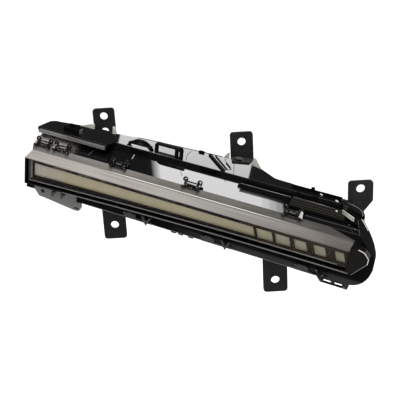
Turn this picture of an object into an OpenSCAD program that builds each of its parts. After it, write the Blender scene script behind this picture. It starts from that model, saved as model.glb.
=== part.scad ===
// Daytime running light for a car bumper: a swept black housing with a smoked lens,
// a long light bar with five short segments, spring clips and five mounting tabs.
// Origin: centre of the top middle tab's bolt hole, on the tab's front face.
// X runs to the right seen from the front, Y to the rear, Z up. The tabs stand in X-Z planes.
// The lamp is drawn level in its own frame: x along it, y to the rear, z up,
// with zero at the rear top edge of the shelf, and place_lamp() turns it to the tabs.

/* [Lamp placement] */
// Angle by which the right end is swept forward
sweep_angle = 26; // [10:1:35]
// Angle by which the right end drops
slope_angle = 10; // [0:1:15]

/* [Housing] */
// Length from the middle tab to the left end of the lens
left_reach = 184; // [176:1:200]
// Length from the middle tab to the right end of the housing
right_reach = 145; // [142:1:160]
// Wall thickness of the housing
wall = 2.5; // [2:0.1:3]
// Thickness of the rear shelf
shelf_t = 3; // [2.5:0.1:4]
// Distance from the shelf's zero line to its front edge
band_y = 35; // [33:0.5:37]
// Height of the upright step below the shelf's front edge
band_h = 5.5; // [5:0.5:7]
// Run of the sloping panel in front of the step
slope_run = 19; // [18:0.5:21]
// Drop of the sloping panel
slope_drop = 8.5; // [7.5:0.5:9]
// Height of the housing's lip below the lens's front at the right end
lip_h = 13; // [12:0.5:18]
// Distance from the zero line to the outside of the rear wall
box_back = 28; // [26:0.5:28.5]
// Length of the raised shoulder at the left end
shoulder_l = 75; // [70:1:78]
// How far the shoulder's front stands before the step
shoulder_run = 11; // [9:0.5:12]
// Corner radius of the lower right end
end_r = 17; // [12:1:18]

/* [Lens] */
// Wall thickness of the lens
lens_wall = 2.5; // [2:0.1:2.8]
// Run of the dark upper facet
ridge_run = 4; // [3:0.5:5]
// Drop of the dark upper facet
ridge_drop = 5; // [4:0.5:6]
// Run of the pale lower facet
facet_run = 12; // [11:0.5:13]
// Drop of the pale lower facet
facet_drop = 4; // [3:0.5:5]
// Rake of the joint between lens and housing, run for each millimetre down
joint_rake = 0.246; // [0.2:0.01:0.28]
// Height of the lens's front at the right end
front_h = 19; // [18:0.5:20]
// How much lower the lens's front is at the left end
front_sag = 8; // [6:0.5:9]
// Distance of the lens's tip from the housing's right end
tip_gap = 5; // [4:0.5:8]
// Thickness of the seal between lens and housing
seal_t = 1.2; // [0.8:0.1:1.6]
// Width of the seal
seal_w = 3; // [2.6:0.1:4]

/* [Light bar] */
// Thickness of the dark bezel
bezel_t = 2; // [1.5:0.1:2.5]
// Height of the lens's front above the light bar
band_above = 4.3; // [4:0.1:5]
// Height of the lens's front below the light bar at the right end
band_below = 6; // [5.5:0.1:6.5]
// How much lower the bar's bottom edge is at the left end
bar_sag = 5; // [3:0.5:5.5]
// Distance from the lens's left end to the light bar
bar_start = 8; // [7:0.5:11]
// Distance from the last short segment to the lens's tip
bar_end = 18.7; // [17:0.1:21]
// Lean of the segments' ends
segment_lean = 20; // [10:1:25]
// Thickness of the light guide
guide_t = 4.5; // [3:0.1:5]
// Number of lamps on the circuit board
led_count = 18; // [10:1:20]
// Side of each square lamp chip
led_w = 4; // [3:0.1:5]

/* [Mounting tabs] */
// Width of each tab
tab_w = 20.8; // [19:0.1:22]
// Thickness of each tab
tab_t = 2.5; // [2:0.1:3]
// Diameter of each bolt hole
hole_d = 7.4; // [6.5:0.1:9]
// Distance from the hole's centre to the end of the upper middle tab
tab_end = 9; // [8:0.1:10]
// The same on the upper left tab
left_tab_end = 7.6; // [6.5:0.1:10]
// The same on the upper right tab
right_tab_end = 7; // [6.5:0.1:10]
// The same on the lower left tab
low_left_end = 13.5; // [9:0.1:15]
// The same on the lower right tab
low_right_end = 10.9; // [9:0.1:15]
// Corner radius of the tabs
tab_r = 3; // [2:0.1:4]
// Width of the slanted corner on the upper right tab
tab_slant = 9.3; // [6:0.1:10]
// Diameter of the screws that hold the brackets
bracket_screw_d = 4; // [3:0.1:5]

/* [Clips] */
// Width of each upper lens clip
clip_w = 18; // [16:0.5:19]
// Height of each upper lens clip
clip_h = 10; // [9:0.5:11]
// Thickness of the clips' bars
clip_t = 1.6; // [1.2:0.1:2]

/* [Rear cover and connector] */
// Length of the rear access cover
cover_l = 96; // [86:1:104]
// Height of the rear access cover
cover_h = 34; // [31:0.5:36]
// Thickness of the rear access cover
cover_t = 2.5; // [2:0.1:3]
// Inside width of the connector socket
socket_w = 15; // [13:0.5:17]
// Inside height of the connector socket
socket_h = 8; // [7:0.5:10]
// Depth of the connector socket behind the housing
socket_depth = 20; // [18:0.5:24]

/* [Hidden] */
$fn = 48;
cut = 0.1;        // how far a cut runs past a face
gap = 0.15;       // clearance between fitted pieces
far = 400;        // reach of cutting blocks

// Levels and depths of the lamp's section, y negative to the front, z negative down
joint_y = -(band_y + slope_run);
joint_z = -(band_h + slope_drop);
ridge = [joint_y - ridge_run, joint_z - ridge_drop];
front_y = ridge[0] - facet_run;
front_top = ridge[1] - facet_drop;
front_bottom = front_h - front_top;
body_h = front_bottom + lip_h;
front_in = front_y + lens_wall;
rear_in = -box_back - wall;
function joint_at(z) = joint_y + joint_rake * (z - joint_z);

// Ends of the lamp
lens_left = -left_reach;
lens_tip = right_reach - tip_gap;
housing_left = lens_left - 2;
span = lens_tip - lens_left;
function sag(x, drop) = -drop * pow((lens_tip - 20 - x) / span, 2);

// Outline helpers
function arc(c, r, a0, a1, n = 8) = [
    for (i = [0:n]) let(a = a0 + (a1 - a0) * i / n) c + r * [cos(a), sin(a)]
];
function unit(v) = v / norm(v);
function inward(a, b) = let(u = unit(b - a)) [-u[1], u[0]];
function meet(n1, n2, d1, d2) = let(k = n1[0] * n2[1] - n1[1] * n2[0])
    abs(k) < 0.001 ? d1 * n1 : [d1 * n2[1] - d2 * n1[1], d2 * n1[0] - d1 * n2[0]] / k;
// A counter-clockwise outline with each edge i moved inwards by d[i]
function inset(p, d) = let(n = len(p)) [
    for (i = [0:n - 1]) p[i] + meet(
        inward(p[(i + n - 1) % n], p[i]), inward(p[i], p[(i + 1) % n]), d[(i + n - 1) % n], d[i])
];
function even(p, d) = inset(p, [for (q = p) d]);
// The same with its last edge, which lies on the joint, moved by e
function open_inset(p, d, e) = inset(p, [for (i = [0:len(p) - 1]) i == len(p) - 1 ? e : d]);

// Moves and prisms
function turned(p) = let(x = p[0] * cos(slope_angle) + p[2] * sin(slope_angle),
    z = -p[0] * sin(slope_angle) + p[2] * cos(slope_angle))
    [x * cos(sweep_angle) + p[1] * sin(sweep_angle), -x * sin(sweep_angle) + p[1] * cos(sweep_angle), z];
function placed(p) = lamp_zero + turned(p);
module place_lamp() { translate(lamp_zero) rotate([0, slope_angle, -sweep_angle]) children(); }
// Prism along x from a y-z outline
module along_x(x0, x1) {
    translate([x0, 0, 0]) rotate([90, 0, 90]) linear_extrude(x1 - x0) children();
}
// Prism along y from an x-z outline, from y0 to the rear at y1
module along_y(y0, y1) {
    translate([0, y1, 0]) rotate([90, 0, 0]) linear_extrude(y1 - y0) children();
}
// Prism along z from an x-y outline
module along_z(z0, z1) { translate([0, 0, z0]) linear_extrude(z1 - z0) children(); }
// Block between two corners
module block(a, b) { translate(a) cube(b - a); }
// Round bar towards the rear
module rod(p, d, l) { translate(p) rotate([-90, 0, 0]) cylinder(d = d, h = l); }

// Outlines seen from the front, counter-clockwise from the upper left
lens_steps = 12;
function lens_bottom(x) = -front_bottom + sag(x, front_sag);
lens_front = concat(
    [[lens_tip - 37, joint_z], [lens_left, joint_z]],
    [for (i = [0:lens_steps]) let(x = lens_left + (span - 10) * i / lens_steps) [x, lens_bottom(x)]],
    [[lens_tip - 1, joint_z - 19], [lens_tip, joint_z - 14.5]],
    [[lens_tip - 3, joint_z - 10], [lens_tip - 11, joint_z - 6]]
);
housing_front = concat(
    [[right_reach - 31, 0], [housing_left, 0], [housing_left, -body_h]],
    arc([right_reach - end_r, -body_h + end_r], end_r, -90, 0),
    [[right_reach, joint_z - 16]]
);
// Outline of the shelf seen from above, counter-clockwise from its left front corner
shelf_left = housing_left - 1;
shelf_plan = concat(
    [[shelf_left, -band_y - shoulder_run], [shelf_left + shoulder_l, -band_y - shoulder_run],
        [shelf_left + shoulder_l + 2, -band_y], [right_reach - 40, -band_y],
        [right_reach - 16, -band_y - 14]],
    arc([right_reach - 37, -box_back - 22], 20.5, 10, 80, 6),
    [[56, -20.5]],
    arc([46, -8], 12, 260, 225, 3),
    [[22, -5], [10, -1], [-15, -1.5], [-50, -4]],
    [[shelf_left + 98, -7.5], [shelf_left + 65, -14], [shelf_left + 27, -16.5]],
    arc([shelf_left + 7, -box_back], 7, 80, 180, 5)
);
// Outline of the box under the shelf seen from above
box_plan = concat(
    [[housing_left, front_y - 20], [right_reach, front_y - 20]],
    arc([right_reach - 30, -box_back - 30], 30, 0, 90),
    arc([housing_left + 6, -box_back - 6], 6, 90, 180, 4)
);

// Sections of the lamp in the y-z plane, counter-clockwise, the last edge on the joint
loop_low = -body_h - 20;
lens_loop = [
    [joint_y, joint_z], ridge, [front_y, front_top], [front_y, loop_low], [joint_at(loop_low), loop_low]
];
housing_section = [
    [joint_at(-body_h), -body_h], [-box_back, -body_h], [-box_back, 0], [-band_y, 0],
    [-band_y, -band_h], [joint_y, joint_z]
];

// Slab between the joint plane moved back by a and by b
module joint_slab(a, b, x0, x1) {
    z0 = loop_low;
    along_x(x0, x1)
        polygon([[joint_at(z0) + a, z0], [joint_at(z0) + b, z0], [joint_at(0) + b, 0], [joint_at(0) + a, 0]]);
}
module seal_ring(grow) {
    intersection() {
        joint_slab(-2 * grow, seal_t, lens_left - 5, right_reach + 5);
        along_y(front_y, 0) difference() {
            polygon(even(lens_front, -grow));
            polygon(even(lens_front, seal_w + grow));
        }
    }
}

// Driving points of the five mounting tabs: hole centres in the lamp's own frame
mid_hole = [-1, 2, 17];
lamp_zero = -turned(mid_hole);
mid_foot = [mid_hole[0] + mid_hole[2] * tan(slope_angle), mid_hole[1], 0];   // under the middle tab
mid_seat = mid_foot + [
    6.5 * sin(sweep_angle) - 4 * cos(sweep_angle), -6.5 * cos(sweep_angle) - 4 * sin(sweep_angle), 0];
lip_y = joint_at(-body_h);           // foot of the joint on the housing's underside
left_hole = [lens_left + 45, -box_back + 20, 11.5];
right_hole = [right_reach - 29, -box_back + 8, 11];
low_left_hole = [lens_left + 92, lip_y + 7, -body_h - 15.4];
low_right_hole = [right_reach - 78, lip_y + 7, -body_h - 20];
seat_x = [left_hole[0] + 2, right_hole[0] - 10];   // arms of the two rear brackets
seat_z = -14;                        // their screws below the shelf
boss_d = bracket_screw_d + 5;
pilot_d = bracket_screw_d - 1;
free_d = bracket_screw_d + 0.4;
boss_l = 9;
screw_in = boss_l - 2;               // depth of the bracket screws
head_d = bracket_screw_d + 3.5;
head_h = 2.4;

// Long light bar and its short segments: left edge and length of each
bar_left = lens_left + bar_start;
bar_top = band_above - front_top;
bar_bottom = front_bottom - band_below;
segment_l = [14.8, 13.4, 11.2, 10.4, 8.3];
segment_gap = [1.7, 1.8, 3.2, 5.7, 7.4];
function total(v, n, i = 0) = i < n ? v[i] + total(v, n, i + 1) : 0;
bar_l = lens_tip - bar_end - total(segment_l, 5) - total(segment_gap, 5) - bar_left;
function segment_x(i) = bar_left + bar_l + total(segment_l, i) + total(segment_gap, i + 1);
function bar_low(x) = -bar_bottom + sag(x, bar_sag);
lean = tan(segment_lean);
// Window from x0 to x1 whose left end leans by l0 and whose right end by lean
function window(x0, x1, l0, n) = concat(
    [[x1, -bar_top], [x0, -bar_top]],
    [for (i = [0:n]) let(x = x0 + (x1 - x0) * i / n, z = bar_low(x), k = l0 + (lean - l0) * i / n)
        [x + k * (-bar_top - z), z]]
);

// Rear wall layout
cover_x = lens_left + 122;           // centre of the rear access cover
cover_z = -body_h / 2 - 2;           // its height
opening_l = cover_l - 14;            // access opening behind it
opening_h = cover_h - 12;
cover_screw_d = 3;
cover_screw_x = cover_l / 2 - 4;
cover_screw_z = cover_h / 2 - 3.5;
socket_x = cover_x + 24;             // connector socket on the cover
socket_wall = 1.8;
vent_x = cover_x - 26;
vent_d = 5;
board_y = rear_in - 15.5;            // front face of the circuit board
board_t = 1.6;
board_z = -(bar_top + bar_bottom) / 2;
board_h = 15;
board_left = bar_left + 6;
board_right = lens_tip - 24;
sink_t = 2;
sink_y = board_y + board_t;
board_screw_d = 3;
board_pilot = 9;
board_holes = [
    board_left + 8, cover_x - cover_l / 2 - 6, cover_x + cover_l / 2 + 10, board_right - 62, board_right - 8
];
led_pitch = (board_right - board_left - 12) / led_count;
function led_x(i) = board_left + 6 + led_pitch * (i + 0.5);
blade_l = 9;                         // reach of the terminals into the socket
guide_y = front_in + gap + bezel_t + gap;
cup_front = guide_y + guide_t + gap;

// Black glossy housing with shelf, shoulder, raised arch and frame, and a closed rear
module housing() {
    color("#141414") place_lamp() difference() {
        union() {
            housing_body();
            shelf_features();
            slope_features();
            bracket_bosses();
        }
        seal_ring(0.05);
        bracket_pilots();
    }
}
module housing_body() {
    difference() {
        union() {
            intersection() {
                along_x(housing_left, right_reach) polygon(housing_section);
                along_y(front_y, 0) polygon(housing_front);
                along_z(-body_h, 0) polygon(box_plan);
            }
            along_z(-shelf_t, 0) polygon(shelf_plan);
            block([shelf_left + 1, -band_y - shoulder_run, -band_h], [shelf_left + shoulder_l, -band_y, 0]);
        }
        housing_cavity();
        // Mouth behind the lens
        intersection() {
            joint_slab(-cut, wall + cut, lens_left, right_reach);
            along_y(front_y, 0) polygon(even(lens_front, seal_w));
        }
        rear_openings();
    }
}
module housing_cavity() {
    difference() {
        intersection() {
            along_x(housing_left + wall, right_reach) polygon(even(housing_section, wall));
            along_y(front_y, 0) polygon(even(housing_front, wall));
            along_z(-body_h, 0) polygon(even(box_plan, wall));
        }
        stand_offs();
    }
}
module stand_offs() {
    for (x = board_holes) difference() {
        rod([x, sink_y + sink_t, board_z], board_screw_d + 5, rear_in - sink_y - sink_t + cut);
        rod([x, sink_y + sink_t - cut, board_z], board_screw_d - 0.6, board_pilot);
    }
}
module rear_openings() {
    block([cover_x - opening_l / 2, rear_in - cut, cover_z - opening_h / 2],
        [cover_x + opening_l / 2, -box_back + cut, cover_z + opening_h / 2]);
    for (sx = [-1, 1], sz = [-1, 1])
        rod([cover_x + sx * cover_screw_x, rear_in - cut, cover_z + sz * cover_screw_z],
            cover_screw_d - 0.5, wall + 2 * cut);
}
// Features on the shelf and the sloping panel
arch_x = lens_left + 99;             // centre of the standing arch
arch_r = 15.5;
arch_z = -8;                         // height of its centre, below the shelf
bar_w = 2.2;                         // thickness of its bars
feature_y = -band_y + 1;             // front of the arch and the upright frame
feature_t = 4;
frame_x = arch_x + arch_r;           // left side of the upright frame
frame_w = 27;
frame_h = 10;
frame_r = 2.8;                       // its upper corners
rib_pitch = 2.4;                     // cooling ribs on the sloping panel
rib_x = right_reach - 80;
latch_x = housing_left + 23;         // latch cluster on the shoulder
module shelf_features() {
    arch();
    upright_frame();
    // Diagonal rib and its thin companions
    rib([-27, -6], 46.8, 39, 2, 1.6);
    rib([-21.5, -5], 48, 31, 0.8, 0.8);
    rib([-6.5, -15], 48, 10, 0.8, 0.8);
    // Small block at the rear edge, nub and low kerb on the right half
    block([-38, -6.5, -cut], [-33, -4.2, 1.6]);
    block([right_reach - 69, -25, -cut], [right_reach - 66, -23.5, 3]);
    block([right_reach - 85, -box_back, -cut], [right_reach - 41, -box_back + 1.4, 2.2]);
    // Latch cluster and its pin
    block([latch_x, -39, -cut], [latch_x + 13, -36.5, 4]);
    block([latch_x, -31, -cut], [latch_x + 5, -27, 3]);
    block([latch_x + 3, -34, -cut], [latch_x + 12, -32, 6]);
    block([latch_x + 13.6, -41, -cut], [latch_x + 17, -38.5, 8]);
    translate([latch_x + 16, -37, -cut]) cylinder(d = 6, h = 4.5);
    // Lugs under the lip
    for (x = [-32, -25, -15])
        block([x, lip_y + 0.3, -body_h - 1.8], [x + 4.5, lip_y + wall, -body_h + 0.5]);
}
module arch() {
    foot = arch_r - 4;
    rung_z = 2.6;
    along_y(feature_y, feature_y + feature_t) translate([arch_x, 0]) {
        intersection() {
            translate([0, arch_z]) difference() {
                circle(arch_r);
                circle(arch_r - bar_w);
            }
            translate([-arch_r, -cut]) square([2 * arch_r, arch_r]);
        }
        translate([-foot, rung_z]) square([2 * foot, 1.2]);
    }
}
module upright_frame() {
    low = 0.6;
    slot_w = 2.4;
    open_h = frame_h - bar_w - low;
    open_w = frame_w - slot_w - 3 * bar_w;
    along_y(feature_y, feature_y + feature_t) translate([frame_x, 0]) difference() {
        union() {
            translate([0, -cut]) square([frame_w, frame_h - frame_r + cut]);
            translate([frame_r, 0]) square([frame_w - 2 * frame_r, frame_h]);
            for (x = [frame_r, frame_w - frame_r]) translate([x, frame_h - frame_r]) circle(frame_r);
        }
        translate([bar_w, low]) square([open_w, open_h]);
        translate([frame_w - slot_w - bar_w, low]) square([slot_w, open_h - bar_w / 2]);
    }
}
// Low rib on the shelf from a point, running forward to the right
module rib(p, angle, l, w, h) {
    translate([p[0], p[1], -cut]) rotate(-angle) block([0, -w / 2, 0], [l, w / 2, h + cut]);
}
function slope_z(y) = -band_h + slope_drop / slope_run * (y + band_y);
module slope_features() {
    // Raised bar, cooling ribs and the slanted block by the right end
    block([16, -band_y - 6, slope_z(-band_y - 3) - 4], [rib_x - 2, -band_y - 1.5, -band_h - 0.3]);
    for (i = [0:5]) let(y = -band_y - 2 - rib_pitch * i)
        block([rib_x, y - 1, slope_z(y) - 1.5], [rib_x + 54 + i * 1.5, y, slope_z(y) + 1.4]);
    translate([right_reach - 34, -band_y - 5, 0]) rotate(-38) block([0, -1.5, -band_h - 3], [15, 1.5, -1]);
}

// Bosses that take the bracket screws
function rear_seat(x) = [x, -box_back, seat_z];
function low_seat(h) = [h[0] + 6, lip_y + 20, -body_h];
module bracket_bosses() {
    for (x = seat_x) rod(rear_seat(x) - [0, boss_l, 0], boss_d, boss_l - cut);
    for (h = [low_left_hole, low_right_hole])
        translate(low_seat(h) + [0, 0, cut]) cylinder(d = boss_d, h = boss_l - cut);
    translate(mid_seat - [0, 0, boss_l]) cylinder(d = boss_d, h = boss_l - cut);
}
module bracket_pilots() {
    deep = boss_l - 1;
    for (x = seat_x) rod(rear_seat(x) - [0, deep, 0], pilot_d, deep + cut);
    for (h = [low_left_hole, low_right_hole])
        translate(low_seat(h) - [0, 0, cut]) cylinder(d = pilot_d, h = deep + cut);
    translate(mid_seat - [0, 0, deep]) cylinder(d = pilot_d, h = deep + cut);
}

// Grey strip on the front edge of the shoulder
trim_t = 1.8;
trim_low = 4.6;
trim_high = 1.4;
module upper_trim() {
    y = -band_y - shoulder_run;
    color("#8f8b86") place_lamp()
        block([lens_left, y - trim_t, -trim_low], [shelf_left + shoulder_l - 1, y, -trim_high]);
}

// Smoked lens, one hollow shell with two facets above the front
module lens() {
    color("#8d8781") place_lamp() difference() {
        intersection() {
            along_x(lens_left, lens_tip) polygon(lens_loop);
            along_y(front_y - cut, 0) polygon(lens_front);
        }
        intersection() {
            along_x(lens_left + lens_wall, lens_tip) polygon(lens_hollow());
            along_y(front_y, 0) polygon(even(lens_front, lens_wall));
        }
    }
}
function lens_hollow() = open_inset(lens_loop, lens_wall, -1);

// Seal between lens and housing
module lens_gasket() { color("#202020") place_lamp() seal_ring(0); }

// Dark frame behind the lens's front with the bar's window and five short ones
module bezel() {
    y0 = front_in + gap;
    color("#1c1a17") place_lamp() difference() {
        intersection() {
            along_y(y0, y0 + bezel_t) polygon(even(lens_front, lens_wall + gap));
            along_x(lens_left, lens_tip) polygon(open_inset(lens_loop, lens_wall + gap, -1));
        }
        along_y(y0 - cut, y0 + bezel_t + cut) {
            polygon(window(bar_left, bar_left + bar_l, 0, 10));
            for (i = [0:4]) polygon(window(segment_x(i), segment_x(i) + segment_l[i], lean, 1));
        }
    }
}

// Pale light guide bar behind the bezel's windows
guide_edge = 2.2;
module light_guide() {
    x0 = bar_left - guide_edge;
    x1 = lens_tip - 14;
    color("#98917a") place_lamp() along_y(guide_y, guide_y + guide_t) polygon(concat(
        [[x1, -bar_top + guide_edge - 1], [x0, -bar_top + guide_edge - 1]],
        [for (i = [0:10]) let(x = x0 + (x1 - x0) * i / 10) [x, bar_low(x) - guide_edge]]
    ));
}

// Block of the board's outline from y0 to y1, lower by d above and below
module board_block(y0, y1, d) {
    block([board_left, y0, board_z - board_h / 2 + d], [board_right, y1, board_z + board_h / 2 - d]);
}

// Tray between board and light guide, with a cup for each lamp chip
module reflector() {
    y1 = board_y - gap;
    color("#d8d8d4") place_lamp() difference() {
        board_block(cup_front, y1, 0.5);
        for (i = [0:led_count - 1]) {
            block([led_x(i) - led_pitch / 2 + 0.7, cup_front - cut, board_z - board_h / 2 + 2.5],
                [led_x(i) + led_pitch / 2 - 0.7, y1 - 3, board_z + board_h / 2 - 2.5]);
            block([led_x(i) - led_w / 2 - 0.5, cup_front, board_z - led_w / 2 - 0.5],
                [led_x(i) + led_w / 2 + 0.5, y1 + cut, board_z + led_w / 2 + 0.5]);
        }
        for (x = board_holes) rod([x, y1 - 3.6, board_z], board_screw_d + 4, 4);
    }
}

// Circuit board with its lamp chips
module circuit_board() {
    color("#e8e8e0") place_lamp() difference() {
        board_block(board_y, board_y + board_t, 0);
        for (x = board_holes) rod([x, board_y - cut, board_z], board_screw_d + 0.2, board_t + 2 * cut);
    }
}
module leds() {
    color("#f0e6a0") place_lamp() for (i = [0:led_count - 1])
        if (min([for (x = board_holes) abs(x - led_x(i))]) > (led_w + board_screw_d + 4) / 2)
            block([led_x(i) - led_w / 2, board_y - 1, board_z - led_w / 2],
                [led_x(i) + led_w / 2, board_y, board_z + led_w / 2]);
}

// Finned aluminium heat sink behind the board
sink_fin = 5;
module heat_sink() {
    color("#b9bcc0") place_lamp() difference() {
        union() {
            board_block(sink_y, sink_y + sink_t, 0);
            for (z = [-5.5, -2.5, 2.5, 5.5]) for (k = [0:len(board_holes) - 2])
                block([board_holes[k] + 7, sink_y + sink_t - cut, board_z + z - 0.6],
                    [board_holes[k + 1] - 7, sink_y + sink_t + sink_fin, board_z + z + 0.6]);
        }
        for (x = board_holes) rod([x, sink_y - cut, board_z], board_screw_d + 0.2, sink_t + 2 * cut);
    }
}
module board_screws() {
    color("#a8aaad") place_lamp() for (x = board_holes) {
        rod([x, board_y - 2, board_z], board_screw_d + 2.6, 2);
        rod([x, board_y - cut, board_z], board_screw_d - 0.6, board_t + sink_t + 8);
    }
}

// Small driver board on the inside of the rear cover, with its parts and screws
driver_l = 44;
driver_h = 16;
driver_y = -box_back - wall - 3;
driver_holes = [-driver_l / 2 + 4, driver_l / 2 - 4];
module driver_board() {
    y = driver_y;
    color("#2f5f3a") place_lamp() translate([cover_x - 8, 0, cover_z]) difference() {
        union() {
            block([-driver_l / 2, y - 1.6, -driver_h / 2], [driver_l / 2, y, driver_h / 2]);
            block([-10, y - 3.6, -5], [-1, y - 1.5, 4]);
            block([4, y - 3.2, -4], [9, y - 1.5, 1]);
            block([4, y - 3.2, 3], [7, y - 1.5, 6]);
        }
        for (x = driver_holes) rod([x, y - 1.6 - cut, 0], board_screw_d, 1.6 + 2 * cut);
    }
}
module driver_screws() {
    color("#a8aaad") place_lamp() translate([cover_x - 8, 0, cover_z]) for (x = driver_holes) {
        rod([x, driver_y - 3.2, 0], board_screw_d + 2, 1.6);
        rod([x, driver_y - 1.7, 0], board_screw_d - 0.6, 6);
    }
}

// Rear access cover with its seal and screws
module cover_plate(y, t) {
    translate([cover_x, y, cover_z]) block([-cover_l / 2, 0, -cover_h / 2], [cover_l / 2, t, cover_h / 2]);
}
module rear_cover() {
    y = -box_back + seal_t;
    color("#1b1b1b") place_lamp() difference() {
        union() {
            cover_plate(y, cover_t);
            translate([cover_x - 8, 0, cover_z]) for (x = driver_holes)
                rod([x, driver_y, 0], 6.5, y - driver_y + cut);
        }
        for (sx = [-1, 1], sz = [-1, 1])
            rod([cover_x + sx * cover_screw_x, y - cut, cover_z + sz * cover_screw_z],
                cover_screw_d + 0.3, cover_t + 2 * cut);
        translate([cover_x - 8, 0, cover_z]) for (x = driver_holes)
            rod([x, driver_y - cut, 0], board_screw_d - 0.6, 5);
        block([socket_x - socket_w / 2 - socket_wall, y - cut, cover_z - socket_h / 2 - socket_wall],
            [socket_x + socket_w / 2 + socket_wall, y + cover_t + cut, cover_z + socket_h / 2 + socket_wall]);
        rod([vent_x, y - cut, cover_z], vent_d, cover_t + 2 * cut);
    }
}
module cover_gasket() {
    y = -box_back;
    color("#303030") place_lamp() difference() {
        cover_plate(y, seal_t);
        translate([cover_x, y, cover_z])
            block([-opening_l / 2, -cut, -opening_h / 2], [opening_l / 2, seal_t + cut, opening_h / 2]);
        for (sx = [-1, 1], sz = [-1, 1])
            rod([cover_x + sx * cover_screw_x, y - cut, cover_z + sz * cover_screw_z],
                cover_screw_d + 0.3, seal_t + 2 * cut);
    }
}
module cover_screws() {
    y = -box_back + seal_t + cover_t;
    color("#a8aaad") place_lamp() for (sx = [-1, 1], sz = [-1, 1])
        translate([cover_x + sx * cover_screw_x, y, cover_z + sz * cover_screw_z]) {
            rod([0, 0, 0], cover_screw_d + 2.6, 2);
            rod([0, -seal_t - cover_t - wall, 0], cover_screw_d - 0.5, seal_t + cover_t + wall + cut);
        }
}

// Connector socket through the cover, its terminals, and the breather cap
module connector_socket() {
    y = -box_back + seal_t + cover_t;
    color("#262626") place_lamp() translate([socket_x, y, cover_z]) difference() {
        union() {
            block([-socket_w / 2 - socket_wall + gap, -cover_t - 4, -socket_h / 2 - socket_wall + gap],
                [socket_w / 2 + socket_wall - gap, socket_depth, socket_h / 2 + socket_wall - gap]);
            block([-socket_w / 2 - 4, 0, -socket_h / 2 - 4], [socket_w / 2 + 4, 1.6, socket_h / 2 + 4]);
            block([-3, 0, socket_h / 2], [3, socket_depth - 3, socket_h / 2 + 3.4]);
        }
        block([-socket_w / 2, -cover_t, -socket_h / 2], [socket_w / 2, socket_depth + cut, socket_h / 2]);
        for (x = [-1, 0, 1]) translate([x * socket_w / 4, 0, 0])
            block([-0.5, -cover_t - 5, -0.8], [0.5, -cover_t + cut, 0.8]);
    }
}
module terminals() {
    y = -box_back + seal_t + cover_t;
    color("#c9b26a") place_lamp() translate([socket_x, y, cover_z]) for (x = [-1, 0, 1])
        block([x * socket_w / 4 - 0.5, -cover_t - 6, -0.8], [x * socket_w / 4 + 0.5, blade_l, 0.8]);
}
module vent_cap() {
    y = -box_back + seal_t + cover_t;
    color("#333333") place_lamp() {
        rod([vent_x, y, cover_z], vent_d + 7, 5);
        rod([vent_x, y - cover_t, cover_z], vent_d - 2 * gap, cover_t + cut);
    }
}

// Flat tab seen from the front, its bolt hole at zero, with round corners above and reach below
module tab_outline(end, reach) {
    difference() {
        union() {
            translate([-tab_w / 2, -reach]) square([tab_w, reach + end - tab_r]);
            translate([-tab_w / 2 + tab_r, 0]) square([tab_w - 2 * tab_r, end]);
            for (k = [-1, 1]) translate([k * (tab_w / 2 - tab_r), end - tab_r]) circle(tab_r);
        }
        circle(d = hole_d);
    }
}
// The same as a plate in an X-Z plane
module tab(hole, end, reach) {
    translate(placed(hole) + [0, tab_t, 0]) rotate([90, 0, 0]) linear_extrude(tab_t) tab_outline(end, reach);
}

// Upper brackets behind the shelf: tab, arm under the shelf and flange on the rear wall
tab_reach = 22;
arm_w = 16;
arm_z = -shelf_t - gap;
module rear_bracket(hole, x, end, second = 0) {
    color("#2b2b2a") difference() {
        union() {
            difference() {
                tab(hole, end, tab_reach);
                place_lamp() block([-far, -far, -far], [far, far, arm_z - 8]);
                if (second > 0) translate(placed(hole)) rod([0, -cut, -second], hole_d, tab_t + 2 * cut);
            }
            place_lamp() {
                block([x - arm_w / 2, -box_back, arm_z - tab_t], [x + arm_w / 2, hole[1] + tab_t + 1, arm_z]);
                block([x - arm_w / 2, -box_back, seat_z - 8], [x + arm_w / 2, -box_back + tab_t, arm_z]);
            }
        }
        place_lamp() rod(rear_seat(x) - [0, cut, 0], free_d, tab_t + 2 * cut);
    }
}
second_hole = 15;                    // how far below the bolt hole the left tab has another one
module bracket_top_left() { rear_bracket(left_hole, seat_x[0], left_tab_end, second_hole); }
module bracket_top_right() {
    drop = tab_end + 1.7;
    difference() {
        rear_bracket(right_hole, seat_x[1], right_tab_end);
        // Slanted corner and a shallow square recess
        color("#2b2b2a") translate(placed(right_hole)) {
            along_y(-cut, tab_t + cut) polygon([
                [tab_w / 2 + cut, -drop], [tab_w / 2 - tab_slant, -drop - 1.25 * tab_slant],
                [tab_w / 2 - tab_slant, -tab_reach - cut], [tab_w / 2 + cut, -tab_reach - cut]
            ]);
            block([0.3, -cut, -11], [6.1, 0.3, -5.4]);
        }
    }
}

// Middle bracket: tab with a bent foot that sits on the shelf
foot_l = 11;
module bracket_top_mid() {
    half = tab_w / 2 - 0.3;
    color("#2b2b2a") difference() {
        union() {
            difference() {
                tab(mid_hole, tab_end, tab_reach);
                place_lamp() block([-far, -far, -far], [far, far, 0]);
            }
            place_lamp() translate(mid_foot) rotate(sweep_angle) along_z(0, tab_t) polygon([
                [-half, tab_t / 2], [-half, -foot_l], [half - 5, -foot_l], [half, -2], [half, tab_t / 2]
            ]);
        }
        place_lamp() translate(mid_seat - [0, 0, cut]) cylinder(d = free_d, h = tab_t + 2 * cut);
    }
}

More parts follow.
